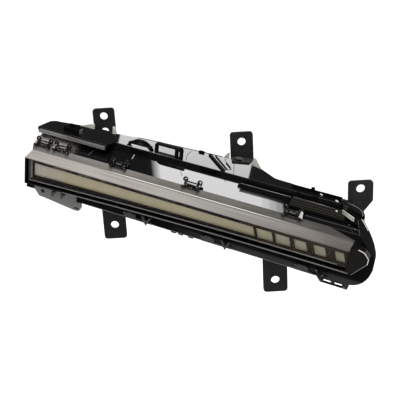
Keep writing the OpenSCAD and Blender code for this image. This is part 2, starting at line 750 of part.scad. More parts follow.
// Lower brackets: tab hanging from a foot on the housing's underside
module low_bracket(hole, end) {
    seat = low_seat(hole);
    color("#2b2b2a") difference() {
        union() {
            difference() {
                translate([0, 0, placed(hole)[2]]) mirror([0, 0, 1]) translate([0, 0, -placed(hole)[2]])
                    tab(hole, end, 2 * tab_reach);
                place_lamp() block([-far, -far, -body_h], [far, far, far]);
            }
            place_lamp() translate([seat[0], 0, -body_h])
                block([-8, hole[1] - 1, -tab_t], [8, seat[1] + 7, 0]);
        }
        place_lamp() translate(seat - [0, 0, tab_t + cut]) cylinder(d = free_d, h = tab_t + 2 * cut);
    }
}
module bracket_bottom_left() { low_bracket(low_left_hole, low_left_end); }
module bracket_bottom_right() { low_bracket(low_right_hole, low_right_end); }

// Pale stiffening plates that stand on the shelf's rear edge beside two of the tabs
gusset_t = 1.2;
module gusset(p, angle, outline) {
    translate([p[0], p[1], 0]) rotate(-angle) along_y(0, gusset_t) polygon(outline);
}
module tab_gussets() {
    x = left_hole[0];
    color("#b5b3a4") place_lamp() {
        gusset([mid_hole[0] + 13.6, mid_hole[1] - 5.2], 22.4, [[0, 0], [13, 0], [4.4, 7.6], [2.4, 7.2]]);
        gusset([mid_hole[0] - 13.4, mid_hole[1] - 5.2], 0, [[0, 0], [5.4, 0], [5, 5.6], [3.6, 5.8]]);
        gusset([x - 19, -18.2], -2, [[0, 0], [15, 0], [15, 4.6], [12, 4.6]]);
        gusset([x + 15.5, -16.6], 0, [[0, 0], [3.4, 0], [2.8, 6.4], [0, 7]]);
    }
}

// Screws of all five brackets
module bracket_screws() {
    shank = screw_in + tab_t + cut;
    color("#77787a") place_lamp() {
        for (x = seat_x) {
            rod(rear_seat(x) + [0, tab_t, 0], head_d, head_h);
            rod(rear_seat(x) - [0, screw_in, 0], pilot_d, shank);
        }
        for (h = [low_left_hole, low_right_hole]) {
            translate(low_seat(h) - [0, 0, tab_t + head_h]) cylinder(d = head_d, h = head_h);
            translate(low_seat(h) - [0, 0, tab_t + cut]) cylinder(d = pilot_d, h = shank);
        }
        translate(mid_seat + [0, 0, tab_t]) cylinder(d = head_d, h = head_h - 0.8);
        translate(mid_seat - [0, 0, screw_in]) cylinder(d = pilot_d, h = shank);
    }
}

// Upper spring clips: foot on the lens, two posts with ear loops, and rungs between them
clip_x = [lens_left + 9, lens_left + 29, lens_left + 90, -21.5, right_reach - 74];
clip_lean = 38;
clip_set = 1.5;   // how far down the upper facet a clip stands
clip_seat = [joint_y - clip_set, joint_z - clip_set * ridge_drop / ridge_run + 0.35];
module lens_clip(i) {
    ear_r = 2.2;
    post = clip_w / 2 - 3;
    seat = [clip_x[i], clip_seat[0], clip_seat[1]];
    color("#181818") place_lamp() translate(seat) rotate([-clip_lean, 0, 0]) {
        for (s = [-1, 1]) {
            block([s * post - clip_t / 2, -clip_t, 0], [s * post + clip_t / 2, 0, clip_h - ear_r]);
            translate([s * (post + 0.9), 0, clip_h - ear_r]) rotate([90, 0, 0]) difference() {
                cylinder(r = ear_r, h = clip_t);
                translate([0, 0, -cut]) cylinder(r = ear_r - 1, h = clip_t + 2 * cut);
            }
            block([s * (post + 1) - 1.6, -clip_t - 0.8, 0], [s * (post + 1) + 1.6, 0, 1.8]);
        }
        for (z = [0.4, 3, 5.6]) block([-post, -clip_t + 0.3, z], [post, -0.3, z + 1.1]);
    }
}
module lens_clip_1() { lens_clip(0); }
module lens_clip_2() { lens_clip(1); }
module lens_clip_3() { lens_clip(2); }
module lens_clip_4() { lens_clip(3); }
module lens_clip_5() { lens_clip(4); }

// Lower spring clips under the lens: a plate on the lip with two lugs, and a V beside it
low_clip_x = [lens_left + 121, 14, right_reach - 46];
module lower_clip(i) {
    color("#1d1d1d") place_lamp() translate([low_clip_x[i], lip_y - 0.1, -body_h]) {
        block([-16, -1.6, 0.4], [12, 0, 2.2]);
        block([-16, -1.6, 0.4], [-4, 0, 6]);
        for (x = [-16, -6.5]) block([x, -3, 4.4], [x + 2.5, -1.5, 6]);
        along_y(-2.6, -0.4) polygon([[2, 6.5], [7, -1.6], [12, 6.5], [9.8, 6.5], [7, 2], [4.2, 6.5]]);
    }
}
module lower_clip_1() { lower_clip(0); }
module lower_clip_2() { lower_clip(1); }
module lower_clip_3() { lower_clip(2); }

// Grey guard plate under the left corner, with a hole, a slot and two small fins
guard_y = lip_y - 0.2;
module corner_guard() {
    x = lens_left;
    z = -body_h;
    color("#7d7b78") place_lamp() difference() {
        union() {
            along_y(guard_y - 2, guard_y) polygon([
                [x + 8, lens_bottom(x + 8) - gap], [x + 9, z + 1.6], [x + 14, z - 4.4], [x + 21, z - 4.8],
                [x + 34, z - 6.2], [x + 54, z - 8.4], [x + 58, z - 7.8], [x + 60.5, z - 3.4],
                [x + 60, z + 0.5], [x + 55, z + 0.5], [x + 54.5, lens_bottom(x + 54.5) - gap]
            ]);
            block([x + 16, guard_y - 2, z - 2.5], [x + 54, guard_y + 9, z - 0.3]);
            for (k = [29, 39]) along_y(guard_y - 4, guard_y - 1.9)
                polygon([[x + k, z + 5], [x + k + 4.5, z + 5], [x + k, z - 0.5]]);
        }
        rod([x + 18, guard_y - 2 - cut, z + 1.5], 4, 2 + 2 * cut);
        block([x + 53, guard_y - 2 - cut, z - 6.4], [x + 58, guard_y + cut, z - 4.8]);
        translate([x + 34, guard_y + 5.5, z - 3]) cylinder(d = cover_screw_d + 0.3, h = 4);
    }
}
module guard_screw() {
    color("#77787a") place_lamp() translate([lens_left + 34, guard_y + 5.5, -body_h]) {
        translate([0, 0, -4.6]) cylinder(d = cover_screw_d + 2.6, h = 2.1);
        translate([0, 0, -2.6]) cylinder(d = cover_screw_d - 0.5, h = 2.5);
    }
}

// Rail with two slots under the right end
module end_rail() {
    x = right_reach - 43;
    y = lip_y + 2;
    z = -body_h;
    color("#161616") place_lamp() difference() {
        along_y(y - 2, y) polygon([[x, z], [x + 4, z - 4.8], [x + 27, z - 4.8], [x + 28, z]]);
        for (k = [6.5, 16]) block([x + k, y - 2 - cut, z - 3.5], [x + k + 6.5, y + cut, z - 1.4]);
    }
}

housing();
upper_trim();
lens();
lens_gasket();
bezel();
light_guide();
reflector();
circuit_board();
leds();
heat_sink();
board_screws();
driver_board();
driver_screws();
rear_cover();
cover_gasket();
cover_screws();
connector_socket();
terminals();
vent_cap();
bracket_top_left();
bracket_top_mid();
bracket_top_right();
bracket_bottom_left();
bracket_bottom_right();
bracket_screws();
tab_gussets();
lens_clip_1();
lens_clip_2();
lens_clip_3();
lens_clip_4();
lens_clip_5();
lower_clip_1();
lower_clip_2();
lower_clip_3();
corner_guard();
guard_screw();
end_rail();
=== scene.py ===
import math

import bmesh
import bpy
from mathutils import Matrix, Vector


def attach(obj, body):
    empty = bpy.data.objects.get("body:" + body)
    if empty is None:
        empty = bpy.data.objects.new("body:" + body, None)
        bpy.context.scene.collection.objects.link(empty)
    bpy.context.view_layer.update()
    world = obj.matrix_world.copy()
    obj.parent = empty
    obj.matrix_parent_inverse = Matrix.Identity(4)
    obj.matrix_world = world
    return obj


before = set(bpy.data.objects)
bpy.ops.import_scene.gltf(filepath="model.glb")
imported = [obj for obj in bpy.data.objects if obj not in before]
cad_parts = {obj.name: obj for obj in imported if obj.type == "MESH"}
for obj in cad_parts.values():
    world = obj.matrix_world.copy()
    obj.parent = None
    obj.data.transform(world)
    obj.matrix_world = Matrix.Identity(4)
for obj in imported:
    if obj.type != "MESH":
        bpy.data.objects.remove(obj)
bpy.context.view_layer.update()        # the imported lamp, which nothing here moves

MM = 0.001

# The lamp's own frame, as in the part's source: x along the lamp, y to the rear, z up, in millimetres,
# with zero at the rear top edge of the shelf
SWEEP = math.radians(-26)
SLOPE = math.radians(10)
MID_HOLE = Vector((-1, 2, 17))
TURN = Matrix.Rotation(SWEEP, 3, "Z") @ Matrix.Rotation(SLOPE, 3, "Y")
LAMP_ZERO = -(TURN @ MID_HOLE)

# Levels and ends in that frame
LEFT = -184                # left end of the lens
TIP = 140                  # right end of the lens
SPAN = TIP - LEFT
BOW_END = TIP - 20         # from here to the left the lower edges of lens and bar bow down
LENS_LOW = -42             # the lens's lower edge at that point
LENS_BOW = 8
BAR_LOW = -36              # the light bar's lower edge at that point
BAR_BOW = 5
FRONT = -70                # y of the lens's front
FRONT_TOP = -23            # z of its upper edge
RIDGE_Y = -58              # the ridge between the two facets
JOINT = (-54, -14)         # y and z where the lens meets the sloping panel
LIP = -64.086              # y of the housing's lower lip
BODY_LOW = -55             # z of the housing's underside
STEP_Y = -35               # the upright step between shelf and sloping panel
STEP_Z = -5.5              # the panel's height at the step
SLOPE_RISE = 8.5 / 19      # how steeply the panel falls towards the lens
SHOULDER_RIGHT = -112
CLIP_X = (LEFT + 9, LEFT + 29, LEFT + 90, -21.5, 71)

# Colours of the lens's two facets from its left end to its tip: the smoke's own grey, with painted shade that
# darkens them towards the tip
LOWER_FACET_TONE_AND_SHADE = [
    (0.0, (0.285, 0.258, 0.239)), (0.2, (0.325, 0.299, 0.276)), (0.56, (0.25, 0.238, 0.217)),
    (0.76, (0.172, 0.158, 0.146)), (0.89, (0.09, 0.079, 0.072)), (1.0, (0.05, 0.044, 0.039)),
]
UPPER_FACET_TONE_AND_SHADE = [
    (0.0, (0.135, 0.128, 0.121)), (0.2, (0.165, 0.157, 0.144)), (0.56, (0.113, 0.106, 0.092)),
    (0.76, (0.056, 0.05, 0.045)), (1.0, (0.034, 0.03, 0.027)),
]


def lamp(x, y, z):
    """A point of the lamp's own frame as a point of the scene."""
    return (TURN @ Vector((x, y, z)) + LAMP_ZERO) * MM


def lens_bottom(x):
    return LENS_LOW - LENS_BOW * ((BOW_END - x) / SPAN) ** 2


def bar_bottom(x):
    return BAR_LOW - BAR_BOW * ((BOW_END - x) / SPAN) ** 2


def upper_line(x):
    """The line below the light bar, which nears the bar towards the right."""
    return bar_bottom(x) - 3.8 + 2.9 * min(1, (x - LEFT) / 205)


# Shader arithmetic
class Value:
    """A shader socket on which Python arithmetic adds Math nodes."""

    def __init__(self, finish, socket):
        self.finish = finish
        self.socket = socket

    def math(self, operation, *terms):
        return self.finish.node("ShaderNodeMath", {"operation": operation}, dict(enumerate(terms)))

    def __add__(self, other):
        return self.math("ADD", self, other)

    def __radd__(self, other):
        return self.math("ADD", other, self)

    def __sub__(self, other):
        return self.math("SUBTRACT", self, other)

    def __rsub__(self, other):
        return self.math("SUBTRACT", other, self)

    def __mul__(self, other):
        return self.math("MULTIPLY", self, other)

    def __rmul__(self, other):
        return self.math("MULTIPLY", other, self)

    def __truediv__(self, other):
        return self.math("DIVIDE", self, other)

    def __abs__(self):
        return self.math("ABSOLUTE", self)


class Finish:
    """One procedural material, with coordinates in millimetres in the lamp's own frame."""

    def __init__(self, name):
        self.material = bpy.data.materials.new(name)
        self.material.use_nodes = True
        self.tree = self.material.node_tree
        self.tree.nodes.clear()
        spot = self.node("ShaderNodeTexCoord", out="Object")
        self.place = self.node(
            "ShaderNodeMapping",
            {"vector_type": "TEXTURE"},
            {
                "Vector": spot,
                "Location": tuple(LAMP_ZERO * MM),
                "Rotation": (0, SLOPE, SWEEP),
                "Scale": (MM, MM, MM),
            },
        )
        self.x, self.y, self.z = (
            self.node("ShaderNodeSeparateXYZ", {}, {"Vector": self.place}, out=axis) for axis in "XYZ"
        )

    def node(self, kind, settings=None, inputs=None, out=0):
        made = self.tree.nodes.new(kind)
        for key, setting in (settings or {}).items():
            if key == "stops":
                self.set_stops(made.color_ramp, setting)
            else:
                setattr(made, key, setting)
        for key, given in (inputs or {}).items():
            if isinstance(given, Value):
                self.tree.links.new(given.socket, made.inputs[key])
            else:
                made.inputs[key].default_value = given
        return Value(self, made.outputs[out])

    def set_stops(self, ramp, stops):
        while len(ramp.elements) < len(stops):
            ramp.elements.new(0.5)
        for element, (position, colour) in zip(ramp.elements, stops):
            element.position = position
            element.color = (*colour, 1)

    def stops(self, value, colours):
        """Colour ramp through pairs of position and colour."""
        return self.node("ShaderNodeValToRGB", {"stops": colours}, {"Fac": value})

    def ramp(self, value, low, high, a=0.0, b=1.0, smooth=True):
        """From a to b as the value goes from low to high."""
        return self.node(
            "ShaderNodeMapRange",
            {"interpolation_type": "SMOOTHSTEP" if smooth else "LINEAR"},
            {"Value": value, "From Min": low, "From Max": high, "To Min": a, "To Max": b},
        )

    def below(self, value, low, high):
        """One below low, nothing above high."""
        return self.ramp(value, low, high, 1.0, 0.0)

    def band(self, value, low, high, soft):
        """One between low and high, nothing outside."""
        return self.ramp(value, low - soft, low + soft) * self.below(value, high - soft, high + soft)

    def noise(self, size, detail=2.0, stretch=(1, 1, 1), rough=0.5):
        """Noise whose features are about size millimetres, drawn out along the stretched axes."""
        spot = self.node(
            "ShaderNodeMapping",
            {"vector_type": "POINT"},
            {"Vector": self.place, "Scale": tuple(1 / s for s in stretch)},
        )
        inputs = {"Vector": spot, "Scale": 1 / size, "Detail": detail, "Roughness": rough}
        return self.node("ShaderNodeTexNoise", {}, inputs)

    def mix(self, amount, a, b):
        """Colour a where amount is nothing, colour b where it is one."""
        made = self.tree.nodes.new("ShaderNodeMix")
        made.data_type = "RGBA"
        wanted = (("Factor", "VALUE", amount), ("A", "RGBA", colour(a)), ("B", "RGBA", colour(b)))
        for key, kind, given in wanted:
            socket = next(s for s in made.inputs if s.name == key and s.type == kind)
            if isinstance(given, Value):
                self.tree.links.new(given.socket, socket)
            else:
                socket.default_value = given
        return Value(self, next(s for s in made.outputs if s.type == "RGBA"))

    def relief(self, height, depth, edge=0.0):
        """Normal of a rough surface whose height of one is depth millimetres, with edges rounded by edge."""
        inputs = {"Height": height, "Distance": depth * MM, "Strength": 1.0}
        if edge:
            inputs["Normal"] = self.rounded(edge)
        return self.node("ShaderNodeBump", {}, inputs)

    def rounded(self, edge):
        return self.node("ShaderNodeBevel", {"samples": 4}, {"Radius": edge * MM})

    def finish(self, **sockets):
        names = {
            "colour": "Base Color", "rough": "Roughness", "metal": "Metallic", "coat": "Coat Weight",
            "coat_rough": "Coat Roughness", "coat_ior": "Coat IOR", "specular": "Specular IOR Level",
            "alpha": "Alpha", "normal": "Normal",
        }
        inputs = {names[key]: colour(given) if key == "colour" else given for key, given in sockets.items()}
        shader = self.node("ShaderNodeBsdfPrincipled", {}, inputs)
        output = self.tree.nodes.new("ShaderNodeOutputMaterial")
        self.tree.links.new(shader.socket, output.inputs["Surface"])
        return self.material


def colour(given):
    return given if isinstance(given, Value) else (*given, 1) if len(given) == 3 else given


def housing_black():
    """Mirror gloss on the shelf and the sloping panel, black elsewhere, with painted light: a grey patch
    under the shoulder, a grey sheen on the lower lip and highlights on the rib tops.
    """
    f = Finish("housing_black")
    flow = f.noise(38, 2, (3, 1, 1))
    dust = f.ramp(f.noise(0.9, 3), 0.58, 0.8)
    grain = f.noise(0.7, 3)
    slope_z = STEP_Z + (f.y - STEP_Y) * SLOPE_RISE
    on_shelf = f.below(abs(f.z), 0.2, 0.4)
    on_slope = f.below(abs(f.z - slope_z), 0.3, 0.6) * f.below(f.y, STEP_Y - 0.6, STEP_Y - 0.3)
    sunk_bar = f.band(f.x, 19, 63.5, 0.1) * f.band(f.y, -44.6, -36, 0.1)
    on_slope = on_slope * (1 - sunk_bar)
    # Painted light: a mottled light grey patch on the panel under the shoulder, where it lies in shade
    shoulder_light_mottle = f.ramp(f.noise(3, 3), 0.3, 0.55, 0.35, 1.0)
    painted_light_under_shoulder = f.below(f.x, LEFT + 22, LEFT + 46) * f.below(f.y, -40.5, -39)
    painted_light_under_shoulder = painted_light_under_shoulder * f.band(f.z, -15, -5.8, 0.2) * shoulder_light_mottle
    # Painted highlight: the tops of the ribs on the panel are lighter
    rib_top_highlight = f.band(f.x, 64, 112, 0.5) * f.band(f.y, -45.2, -36.6, 0.2) * f.ramp(f.z - slope_z, 0.6, 0.9)
    latch_pin = f.band(f.x, LEFT + 38.4, LEFT + 43, 0.2) * f.below(f.y, -34, -33.5) * f.ramp(f.z, 0.3, 0.6)
    rear = f.ramp(f.y, -34, -33) * f.below(f.z, -3.4, -3.1)
    # Painted sheen: a grey band along the underside of the housing's lower lip
    lower_lip_sheen = f.below(f.z, BODY_LOW + 3, BODY_LOW + 6) * f.ramp(f.x, -40, 10) * f.below(f.y, -58, -57)
    tone = f.mix(dust * 0.3, (0.0035, 0.0035, 0.0038), (0.010, 0.010, 0.010))
    tone = f.mix(painted_light_under_shoulder, tone, (0.34, 0.32, 0.3))
    tone = f.mix(rib_top_highlight, tone, (0.033, 0.031, 0.025))
    tone = f.mix(latch_pin, tone, (0.11, 0.107, 0.1))
    tone = f.mix(rear, tone, (0.016, 0.016, 0.0165))
    tone = f.mix(lower_lip_sheen * 0.8, tone, (0.045, 0.045, 0.046))
    return f.finish(
        colour=tone,
        rough=0.4 + dust * 0.2,
        specular=0.0,
        coat=0.05 + (on_slope + on_shelf) * 0.95 + rear * 0.5,
        coat_rough=0.03,
        coat_ior=1.5,
        normal=f.relief(flow + grain * rear, 0.04, 0.45),
    )


def lens_smoke():
    """Grey streaked facets above, a clear smoked front, black ends and underside."""
    f = Finish("lens_smoke")
    # Painted shade: the facet colours darken along the lamp towards its tip
    along = f.ramp(f.x, LEFT, TIP, smooth=False)
    streak = f.noise(0.9, 4, (70, 1, 1), 0.65)
    broad = f.noise(6, 3, (10, 1, 1))
    on_lower = f.below(f.y, RIDGE_Y - 0.3, RIDGE_Y + 0.1)
    facet = f.mix(on_lower, f.stops(along, UPPER_FACET_TONE_AND_SHADE), f.stops(along, LOWER_FACET_TONE_AND_SHADE))
    shade = f.mix(f.ramp(streak, 0.35, 0.65, 0.0, 0.42), facet, (0.06, 0.056, 0.052))
    shade = f.mix(f.ramp(broad, 0.4, 0.7, 0.0, 0.2), shade, (0.32, 0.31, 0.29))
    # Painted shadow just below the ridge between the facets and a painted highlight along it
    fade = f.ramp(f.x, -112, -80) * f.below(f.x, 20, 100)
    ridge_shadow = f.band(f.y, RIDGE_Y - 1.5, RIDGE_Y - 0.8, 0.2) * fade
    ridge_highlight = f.band(f.y, RIDGE_Y - 0.4, RIDGE_Y + 0.1, 0.12) * fade
    shade = f.mix(ridge_shadow * 0.8, shade, (0.05, 0.045, 0.04))
    shade = f.mix(ridge_highlight, shade, (0.7, 0.68, 0.63))
    under_facets = f.below(f.z, FRONT_TOP - 0.5, FRONT_TOP - 0.1)
    prow = f.ramp(f.x, TIP - 14.5, TIP - 13.5)
    black = under_facets + prow - under_facets * prow
    tone = f.mix(black, shade, (0.005, 0.0045, 0.004))
    bow = (BOW_END - f.x) / SPAN
    above_edge = f.ramp(f.z - LENS_LOW + bow * bow * LENS_BOW, 0.9, 1.3)
    inside_left = f.ramp(f.x, LEFT + 0.6, LEFT + 0.9)
    window = under_facets * f.below(f.y, FRONT + 3, FRONT + 3.4) * (1 - prow) * inside_left * above_edge
    return f.finish(
        colour=tone,
        rough=0.36 - black * 0.2 + streak * 0.06,
        alpha=1 - window * 0.96,
        specular=0.06,
        normal=f.relief(streak * (1 - black), 0.04, 0.35),
    )


def bezel_black():
    """Black frame with brown mottling along its top, partly its own texture and partly painted highlights,
    and a light jamb at the left end.
    """
    f = Finish("bezel_black")
    grain = f.noise(0.6, 3)
    patch = f.noise(3.5, 4, (3, 1, 1), 0.7)
    top = f.ramp(f.z, -27.8, -26.8)
    left = f.below(f.x, -150, 20)
    # Brown mottling along the top, stronger at the left: partly the frame's own texture, partly painted
    # highlight
    brown = f.ramp(patch, 0.42, 0.68) * top * (0.25 + left * 0.75)
    base = f.mix(f.ramp(f.x, 20, 60), (0.006, 0.005, 0.004), (0.024, 0.017, 0.011))
    tone = f.mix(brown, base, (0.13, 0.105, 0.085))
    jamb = f.band(f.x, LEFT + 2.6, LEFT + 5, 0.3) * f.band(f.z, -46, -25, 0.5)
    tone = f.mix(jamb, tone, (0.05, 0.045, 0.04))
    upright = f.band(f.x, LEFT + 5.2, LEFT + 6.9, 0.2) * f.band(f.z, -43, -26, 0.3)
    tone = f.mix(upright, tone, (0.15, 0.14, 0.125))
    return f.finish(colour=tone, rough=0.4 + grain * 0.2, specular=0.12, normal=f.relief(grain, 0.03, 0.3))


def light_bar():
    """Unlit diffuser: greige, lighter at the left end, with faint upright cells behind it."""
    f = Finish("light_bar")
    tone = f.mix(f.below(f.x, -176, -120), (0.39, 0.337, 0.211), (0.335, 0.305, 0.248))
    tone = f.mix(f.ramp(f.x, -20, 128), tone, (0.28, 0.265, 0.187))
    wave = f.node("ShaderNodeMath", {"operation": "SINE"}, {0: f.x * 0.42})
    cloud = f.noise(16, 3, (2, 1, 1))
    tone = f.mix(f.ramp(cloud, 0.35, 0.7, 0.0, 0.16) + wave * 0.02, tone, (0.45, 0.425, 0.347))
    for end, strength in ((-175.5, 0.3), (-164, 0.12), (-145, 0.1)):
        tone = f.mix(f.ramp(f.x, end - 0.3, end + 0.3, strength, 0.0), tone, (0.56, 0.53, 0.46))
    return f.finish(colour=tone, rough=0.38 + cloud * 0.15, normal=f.relief(wave, 0.02, 0.2))


def trim_grey():
    """Streaked grey with a dark groove."""
    f = Finish("trim_grey")
    streak = f.noise(0.8, 4, (30, 1, 1), 0.7)
    tone = f.mix(f.ramp(streak, 0.35, 0.65), (0.06, 0.056, 0.052), (0.23, 0.22, 0.207))
    groove = f.band(f.z, -3.6, -2.9, 0.15) * f.ramp(f.x, LEFT + 8, LEFT + 40)
    tone = f.mix(groove, tone, (0.02, 0.018, 0.016))
    tone = f.mix(f.band(f.x, LEFT + 30, SHOULDER_RIGHT + 4, 4) * 0.5, tone, (0.05, 0.047, 0.044))
    return f.finish(colour=tone, rough=0.25 + streak * 0.15, normal=f.relief(streak, 0.05, 0.25))


def tab_charcoal():
    """Dull coated sheet steel with a fine grain, a little lighter in scattered specks of the grain."""
    f = Finish("tab_charcoal")
    grain = f.noise(0.55, 4, rough=0.7)
    cloud = f.noise(11, 3)
    tone = f.mix(f.ramp(cloud, 0.35, 0.7), (0.0085, 0.0085, 0.0081), (0.017, 0.017, 0.0162))
    tone = f.mix(f.ramp(grain, 0.6, 0.8, 0.0, 0.4), tone, (0.06, 0.06, 0.057))
    # Painted shade: the tabs darker towards the housing's underside
    tone = f.mix(f.ramp(f.z, BODY_LOW, BODY_LOW + 20, 0.8, 0.0), tone, (0.003, 0.003, 0.003))
    return f.finish(colour=tone, rough=0.5 + grain * 0.25, specular=0.16, normal=f.relief(grain, 0.06, 0.5))


def moulded(name, low, high, rough, grain_size=0.7, depth=0.05, edge=0.4):
    """Moulded plastic or rubber with an even grain."""
    f = Finish(name)
    grain = f.noise(grain_size, 3)
    cloud = f.noise(14, 2)
    tone = f.mix(f.ramp(cloud, 0.35, 0.65), low, high)
    return f.finish(colour=tone, rough=rough + grain * 0.15, normal=f.relief(grain, depth, edge))


def guard_grey():
    """Grain-finished grey plastic, black on the guard's fins."""
    f = Finish("guard_grey")
    grain = f.noise(0.8, 3)
    tone = f.mix(f.ramp(f.noise(14, 2), 0.35, 0.65), (0.097, 0.094, 0.09), (0.117, 0.114, 0.109))
    fins = f.below(f.y, -66.5, -66.4) * f.below(f.z, BODY_LOW + 5.5, BODY_LOW + 5.8)
    tone = f.mix(fins, tone, (0.008, 0.008, 0.008))
    return f.finish(colour=tone, rough=0.5 + grain * 0.15, normal=f.relief(grain, 0.05, 0.4))


def clip_black():
    """Black with scuffs and painted glints, and painted highlights that make the lower clips greyer, but not
    the end rail.
    """
    f = Finish("clip_black")
    # Light specks that stand for scuffs and painted glints
    scuff_and_glint = f.ramp(f.noise(1.6, 3), 0.56, 0.7)
    tone = f.mix(scuff_and_glint * 0.75, (0.004, 0.004, 0.004), (0.2, 0.195, 0.185))
    # Painted highlight: the lower clips are greyer, but not the end rail
    lower_clip_highlight = f.ramp(f.z, -48, -45, 0.7, 0.0) * f.below(f.x, 96, 98)
    tone = f.mix(lower_clip_highlight, tone, (0.06, 0.058, 0.055))
    return f.finish(colour=tone, rough=0.22 + scuff_and_glint * 0.2, specular=0.09, normal=f.relief(scuff_and_glint, 0.03, 0.35))


def metal(name, tint, rough, stretch=(12, 1, 1)):
    """Brushed or plated metal, blackened above the shelf for the middle tab's screw."""
    f = Finish(name)
    brush = f.noise(0.35, 4, stretch, 0.6)
    spot = f.ramp(f.noise(4, 3), 0.4, 0.7)
    dark = tuple(c * 0.72 for c in tint)
    tone = f.mix(brush * 0.5 + spot * 0.3, tint, dark)
    tone = f.mix(f.ramp(f.z, -0.5, 0.0), tone, (0.02, 0.02, 0.02))
    return f.finish(colour=tone, metal=1.0, rough=rough + brush * 0.2, normal=f.relief(brush, 0.015, 0.2))


def board(name, mask, trace):
    """Solder mask over copper tracks."""
    f = Finish(name)
    tracks = f.node(
        "ShaderNodeTexBrick", {"offset": 0.5},
        {"Vector": f.place, "Scale": 0.22, "Mortar Size": 0.045, "Mortar Smooth": 0.4,
         "Color1": (0, 0, 0, 1), "Color2": (0.15, 0.15, 0.15, 1), "Mortar": (1, 1, 1, 1)},
    )
    grain = f.noise(0.5, 2)
    tone = f.mix(tracks * 0.5 + grain * 0.1, mask, trace)
    return f.finish(colour=tone, rough=0.28 + grain * 0.1, normal=f.relief(tracks, 0.03))


def led_yellow():
    """Phosphor of the lamp chips."""
    f = Finish("led_yellow")
    speck = f.noise(0.4, 3)
    tone = f.mix(speck, (0.75, 0.58, 0.12), (0.9, 0.78, 0.3))
    return f.finish(colour=tone, rough=0.3 + speck * 0.2, normal=f.relief(speck, 0.02, 0.15))


def make_finishes():
    return {
        "housing_black": housing_black(),
        "trim_grey": trim_grey(),
        "lens_smoke": lens_smoke(),
        "seal_black": moulded("seal_black", (0.012, 0.012, 0.012), (0.022, 0.022, 0.022), 0.7),
        "bezel_black": bezel_black(),
        "light_bar": light_bar(),
        "reflector_grey": moulded("reflector_grey", (0.62, 0.62, 0.6), (0.7, 0.7, 0.68), 0.25, 1.2, 0.03),
        "board_white": board("board_white", (0.72, 0.72, 0.68), (0.6, 0.6, 0.55)),
        "led_yellow": led_yellow(),
        "sink_aluminium": metal("sink_aluminium", (0.62, 0.63, 0.65), 0.3, (40, 1, 1)),
        "steel": metal("steel", (0.5, 0.5, 0.51), 0.28),
        "board_green": board("board_green", (0.015, 0.09, 0.03), (0.05, 0.22, 0.08)),
        "cover_black": moulded("cover_black", (0.012, 0.012, 0.012), (0.02, 0.02, 0.02), 0.45, 0.8, 0.09),
        "brass": metal("brass", (0.72, 0.55, 0.25), 0.22),
        "tab_charcoal": tab_charcoal(),
        "clip_black": clip_black(),
        "guard_grey": guard_grey(),
        "gusset_pale": moulded("gusset_pale", (0.56, 0.55, 0.49), (0.64, 0.63, 0.57), 0.4, 1.5, 0.04),
    }


finishes = make_finishes()


def dress_frame():
    """Gives each carried-over node the finish of its own slot."""
    for name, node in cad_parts.items():
        for place in node.material_slots:
            key = place.material.name.split(".")[0]
            if key in finishes:
                place.material = finishes[key]


dress_frame()

# The shelf's mirror shows no tabs, as in the photograph
for name in ("bracket_top_left", "bracket_top_mid", "bracket_top_right", "tab_gussets", "bracket_screws"):
    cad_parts[name].visible_glossy = False


# Pieces that only the looks need
def piece(name, shape, slot):
    """Makes an object of a bmesh that is already in its place, and fixes it to the lamp."""
    bmesh.ops.recalc_face_normals(shape, faces=shape.faces)
    mesh = bpy.data.meshes.new(name)
    shape.to_mesh(mesh)
    shape.free()
    made = bpy.data.objects.new(name, mesh)
    bpy.context.scene.collection.objects.link(made)
    made.data.materials.append(finishes[slot])
    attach(made, "root")
    return made


def bead(name, points, radius, slot, sides=8):
    """A thin round bead through points of the lamp's frame, with closed ends."""
    shape = bmesh.new()
    rings = []
    spots = [lamp(*p) for p in points]
    for i, spot in enumerate(spots):
        ahead = (spots[min(i + 1, len(spots) - 1)] - spots[max(i - 1, 0)]).normalized()
        turn = ahead.to_track_quat("Z", "Y").to_matrix().to_4x4()
        turn.translation = spot
        made = bmesh.ops.create_circle(shape, cap_ends=False, radius=radius * MM, segments=sides, matrix=turn)
        rings.append(made["verts"])
    for a, b in zip(rings, rings[1:]):
        edges = {e for v in a for e in v.link_edges if e.other_vert(v) in a}
        edges |= {e for v in b for e in v.link_edges if e.other_vert(v) in b}
        bmesh.ops.bridge_loops(shape, edges=list(edges))
    for ring in (rings[0], rings[-1]):
        bmesh.ops.contextual_create(shape, geom=ring)
    made = piece(name, shape, slot)
    for face in made.data.polygons:
        face.use_smooth = True
    return made


def spread(x0, x1, count):
    return [x0 + (x1 - x0) * i / count for i in range(count + 1)]


def slope_z(y):
    return STEP_Z + (y - STEP_Y) * SLOPE_RISE


def on_panel(points):
    """Points of x and y as points on the sloping panel."""
    return [(x, y, slope_z(y)) for x, y in points]


def on_shelf(points):
    return [(x, y, 0.05) for x, y in points]


def plate(name, corners, depth, slot):
    """A flat plate from its corners, extruded along depth."""
    shape = bmesh.new()
    face = shape.faces.new([shape.verts.new(lamp(*c)) for c in corners])
    grown = bmesh.ops.extrude_face_region(shape, geom=[face])["geom"]
    far = [v for v in grown if isinstance(v, bmesh.types.BMVert)]
    bmesh.ops.translate(shape, verts=far, vec=TURN @ Vector(depth) * MM)
    return piece(name, shape, slot)


